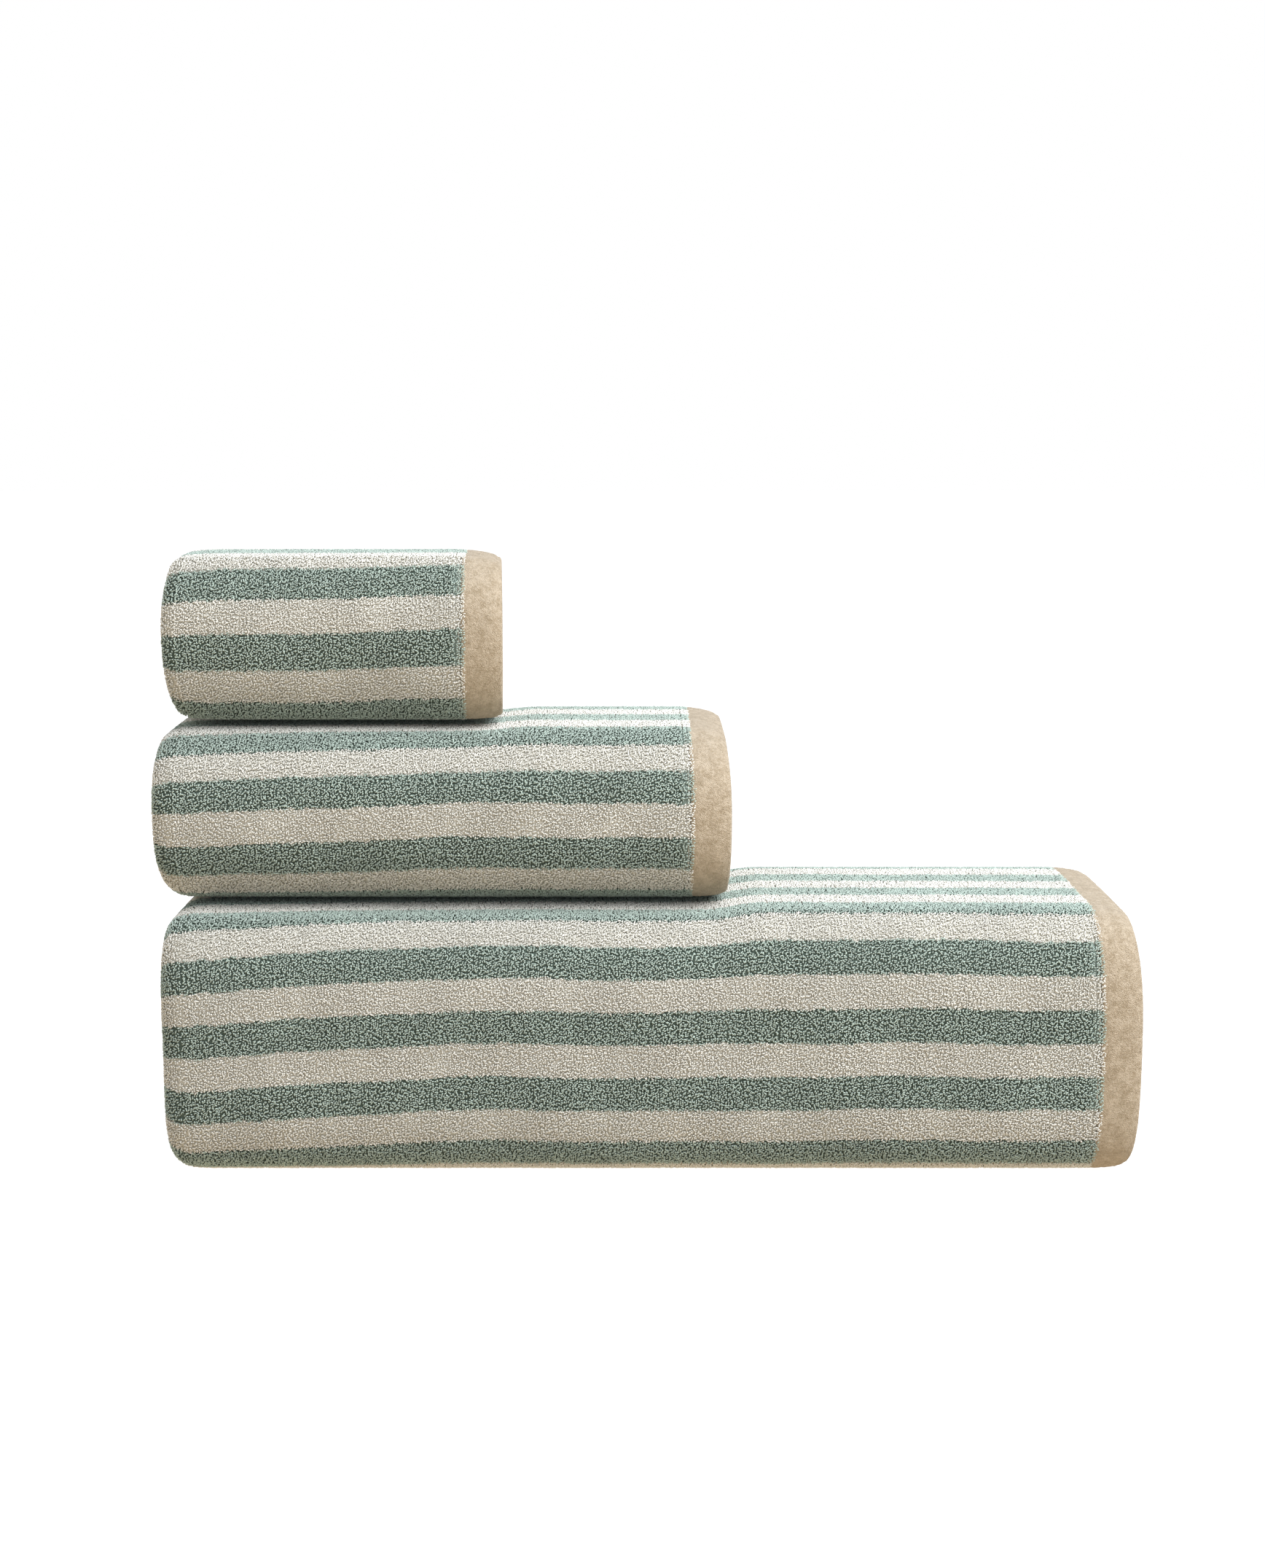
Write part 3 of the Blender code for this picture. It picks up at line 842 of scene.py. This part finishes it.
def make_pile(bundle):
    """Loops over the front and the top, the band's edge, the folds, and the free edge under the bundle."""
    towel = bundle.towel
    fold_begins, fold_ends = bundle.folds[0]
    front_begins = bundle.across_at(math.pi - 2 * bundle.flat)  # where the flat underside ends
    shown = (front_begins - FRONT_MARGIN if towel is BATH else HEM_CLEAR, bundle.across_at(SHOWN_TURN))
    whole = (HEM_CLEAR, towel.flat_width - HEM_CLEAR)
    free_edge = (HEM_CLEAR, HEM_CLEAR + FREE_EDGE_WIDTH)
    inner_ply = (bundle.begins[-1, 0] + BAND_CLEAR, bundle.length - BAND_WIDTH - BAND_CLEAR)
    fringe = [BAND_WIDTH + place for place in FRINGE]
    even, close = (LOOP_PITCH, LOOP_PITCH / CLOSER_ACROSS), (LOOP_PITCH * FOLD_CLOSER, LOOP_PITCH)
    patches = [
        ("face_loops", (BAND_WIDTH + FACE_CLEAR, fold_begins + LOOP_LAP), shown, even),
        ("fringe_loops", fringe, shown, FRINGE_PITCH, FRINGE_LEAN),
        ("left_fold_loops", (fold_begins - LOOP_LAP, fold_ends), whole, close),
    ]
    for begun, ended in bundle.folds[1:]:
        patches.append(("right_fold_loops", (begun - NEAR_TURN[0], ended + NEAR_TURN[1]), whole, close))
    inner_face = 1 if towel.plies == 2 else -1  # of the inner ply, the one that looks into the bundle
    patches.append(("edge_loops", inner_ply, free_edge, even, 0.0, inner_face))
    return [piece for patch in patches for piece in pile_patch(bundle, *patch)]


# ------------------------------------------------------------------------------------- bands and sewing


def band_profile():
    """The puffy cross-section of a band folded over the cloth's end: (along, off) round it."""
    face = []
    for share in np.linspace(1.0, 0.0, BAND_FACE_POINTS):
        plump = 1 - 0.30 * (2 * share - 1) ** 6 - 0.12 * (1 - share) ** 4
        face.append((BAND_WIDTH * share, BAND_HALF * plump))
    end_half = face[-1][1]
    angles = np.linspace(math.pi / 2, -math.pi / 2, BAND_NOSE_POINTS + 2)[1:-1]
    nose = [(-NOSE * math.cos(angle), end_half * math.sin(angle)) for angle in angles]
    back = [(along, -off) for along, off in reversed(face)]
    inside = BARE_HALF + GAP / 2
    slot = [(along, -inside) for along in (BAND_WIDTH, BAND_WIDTH / 2, -GAP)]
    slot += [(along, -off) for along, off in reversed(slot)]
    return np.array(face + nose + back + slot)


def make_band(bundle, name, far_end, step):
    """A velour band, folded over an end of the towel."""
    towel = bundle.towel
    profile = band_profile()
    rings = places(BAND_END_IN, towel.flat_width - BAND_END_IN, step)
    across, along = np.meshgrid(rings, profile[:, 0], indexing="ij")
    off = np.tile(profile[:, 1], (len(rings), 1))
    napped = np.arange(len(profile)) < 2 * BAND_FACE_POINTS + BAND_NOSE_POINTS
    off = off + np.sign(off) * RANDOM.uniform(-NAP, NAP, off.shape) * napped
    if far_end:
        along, off = bundle.length - along, -off
    points = bundle.point(along, across, off)
    count, sides = across.shape
    flat = np.stack([np.tile(np.arange(sides) / sides, count), across.ravel() / towel.flat_width], axis=1)
    return make_piece(name, points, tube_faces(count, sides), VELOUR, towel.name, flat)


def make_thread(bundle, name, along, across, off):
    """A round thread along places on the cloth."""
    centre = bundle.point(along, across, off)
    top = bundle.point(along, across, off + THREAD_RADIUS)
    run = unit(np.gradient(centre, axis=0))
    up = top - centre
    up = unit(up - run * (run * up).sum(1)[:, None])
    beside = np.cross(run, up)
    angles = 2 * math.pi * np.arange(THREAD_SIDES) / THREAD_SIDES
    spokes = up[:, None] * np.cos(angles)[None, :, None] + beside[:, None] * np.sin(angles)[None, :, None]
    points = (centre[:, None] + THREAD_RADIUS * spokes).reshape(-1, 3)
    count = len(centre)
    flat_x = np.tile(np.arange(THREAD_SIDES) / THREAD_SIDES, count)
    flat = np.stack([flat_x, np.repeat(np.linspace(0, 1, count), THREAD_SIDES)], axis=1)
    faces = tube_faces(count, THREAD_SIDES)
    return make_piece(name, points, faces, COTTON, bundle.towel.name, flat)


def stitch_dips(distance):
    """0 where a thread lies on the cloth and 1 where it goes down into it."""
    phase = distance / STITCH_LENGTH % 1.0
    return np.clip(1 - np.minimum(phase, 1 - phase) * STITCH_LENGTH / STITCH_TURN, 0, 1)


def make_band_seam(bundle, name, far_end):
    """The row of stitches beside a band, across the whole towel."""
    end_in = 2 * THREAD_RADIUS
    across = places(end_in, bundle.towel.flat_width - end_in, BAND_SEAM_STEP)
    along = np.full(len(across), BAND_WIDTH + SEAM_GROOVE / 2)
    if far_end:
        along = bundle.length - along
    off = BARE_HALF + THREAD_RADIUS * 1.1 - STITCH_DEPTH * stitch_dips(across)
    return make_thread(bundle, name, along, across, off)


def make_hem_seam(bundle, name, across):
    """The row of stitches in a side hem, from band to band."""
    clear = BAND_WIDTH + SEAM_GROOVE + SHOULDER
    along = places(clear, bundle.length - clear, HEM_SEAM_STEP)
    off = HEM_HALF + THREAD_RADIUS * 0.6 - STITCH_DEPTH * stitch_dips(along)
    return make_thread(bundle, name, along, np.full(len(along), across), off)


def make_label(bundle, name):
    """A blank label sewn into the hidden side hem, a little wavy towards its loose end."""
    width = bundle.towel.flat_width
    rings = np.linspace(width + GAP, width + LABEL_LENGTH, LABEL_ROWS)
    shares = np.linspace(0.0, 1.0, LABEL_COLUMNS)
    across, share = np.meshgrid(rings, shares, indexing="ij")
    curl = LABEL_CURL * np.sin(share * math.pi * 3) * (across - width) / LABEL_LENGTH
    along = LABEL_ALONG + LABEL_WIDTH * share
    points = np.concatenate([bundle.point(along, across, curl + face * LABEL_HALF) for face in (1, -1)])
    faces = [part[:, ::-1] for part in sheet_faces(*across.shape)]
    flat = np.stack([share.ravel() * FACE_WIDE, (across.ravel() - width) / LABEL_LENGTH], axis=1)
    flat = np.concatenate([flat, flat + np.array([[OTHER_FACE, 0.0]])])
    return make_piece(name, points, faces, TAPE, bundle.towel.name, flat)


def make_towel(towel):
    """A towel: its terry, its pile, and what is sewn to it, each in place of a CAD node."""
    bundle, name = Bundle(towel), towel.name
    terry = make_cloth(bundle)
    pile = make_pile(bundle)
    inner_side = towel.flat_width - HEM_STITCH_IN
    sewn = {
        "_end_band": make_band(bundle, name + "_velour_end", False, END_BAND_STEP),
        "_inner_band": make_band(bundle, name + "_velour_inner", True, INNER_BAND_STEP),
        "_end_band_seam": make_band_seam(bundle, name + "_end_stitches", False),
        "_inner_band_seam": make_band_seam(bundle, name + "_inner_stitches", True),
        "_outer_hem_seam": make_hem_seam(bundle, name + "_outer_hem_stitches", HEM_STITCH_IN),
        "_inner_hem_seam": make_hem_seam(bundle, name + "_inner_hem_stitches", inner_side),
        "_care_label": make_label(bundle, name + "_blank_label"),
    }
    for node, piece in sewn.items():
        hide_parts(name + node)


for towel in (BATH, HAND, WASH):
    make_towel(towel)

# --------------------------------------------------------------------------------------- room and camera

SKY = (0.50, 0.51, 0.53)  # light from above the horizon
BELOW = (0.82, 0.68, 0.49)  # from under it
DEEP = (0.70, 0.58, 0.42)  # from straight below
SHOWN_BEHIND = (1.0, 1.0, 1.0)  # what the camera sees, whatever the light
KEY_POWER = 25.5
KEY_COLOUR = (0.97, 1.0, 1.05)
KEY_SIZE = (1.4, 1.1)
KEY_PLACE = (0.70, -0.55, 1.15)
KEY_AIM = (0.0, 0.0, 0.1)
FLOOR_REACH = 4000.0
FLOOR_GREY = 0.35
FLOOR_GLOW = 0.93
CAMERA_PLACE = (-0.0059, -1.0, 0.3158)
CAMERA_DOWN = 8.054  # degrees below level
CAMERA_LENS = 48.63
CAMERA_SENSOR = 36.0


def make_floor():
    """A pale floor out to the horizon, which is bright of itself and sends no light back."""
    mesh = bpy.data.meshes.new("pale_floor")
    far = FLOOR_REACH
    mesh.from_pydata([(-far, -far, 0), (far, -far, 0), (far, far, 0), (-far, far, 0)], [], [(0, 1, 2, 3)])
    finish = Finish("pale_floor", 0.9)
    finish.shader.inputs["Base Color"].default_value = (FLOOR_GREY, FLOOR_GREY, FLOOR_GREY, 1.0)
    finish.shader.inputs["Emission Color"].default_value = (1.0, 1.0, 1.0, 1.0)
    finish.shader.inputs["Emission Strength"].default_value = FLOOR_GLOW
    mesh.materials.append(finish.made)
    floor = bpy.data.objects.new("pale_floor", mesh)
    floor.visible_diffuse = floor.visible_glossy = floor.visible_shadow = False
    bpy.context.scene.collection.objects.link(floor)


def make_light():
    """A bright studio: a broad lamp over the right front, soft light all round, warm from below."""
    world = bpy.data.worlds.new("studio")
    bpy.context.scene.world = world
    world.use_nodes = True
    nodes = Nodes(world.node_tree)
    background = world.node_tree.nodes["Background"]
    place = nodes.node("ShaderNodeTexCoord", {})
    up = nodes.node("ShaderNodeSeparateXYZ", {}, place, out=2)
    low = nodes.mix(nodes.step(up, -0.98, -0.50), DEEP, BELOW)
    light = nodes.mix(nodes.step(up, -0.30, 0.10), low, SKY)
    seen = nodes.node("ShaderNodeLightPath", {})
    colour = nodes.mix(seen, light, SHOWN_BEHIND)
    world.node_tree.links.new(colour.socket, background.inputs["Color"])
    background.inputs["Strength"].default_value = 1.0
    lamp = bpy.data.lights.new("key", "AREA")
    lamp.shape = "RECTANGLE"
    lamp.size, lamp.size_y = KEY_SIZE
    lamp.energy, lamp.color = KEY_POWER, KEY_COLOUR
    held = bpy.data.objects.new("key", lamp)
    held.location = KEY_PLACE
    held.rotation_euler = (Vector(KEY_AIM) - held.location).to_track_quat("-Z", "Y").to_euler()
    bpy.context.scene.collection.objects.link(held)


def make_camera():
    camera = bpy.data.cameras.new("camera")
    camera.sensor_width, camera.lens = CAMERA_SENSOR, CAMERA_LENS
    camera.clip_start, camera.clip_end = 0.05, 100.0
    held = bpy.data.objects.new("camera", camera)
    held.location = CAMERA_PLACE
    held.rotation_euler = (math.radians(90 - CAMERA_DOWN), 0.0, 0.0)
    bpy.context.scene.collection.objects.link(held)
    bpy.context.scene.camera = held


make_floor()
make_light()
make_camera()
bpy.context.scene.view_settings.view_transform = "Standard"
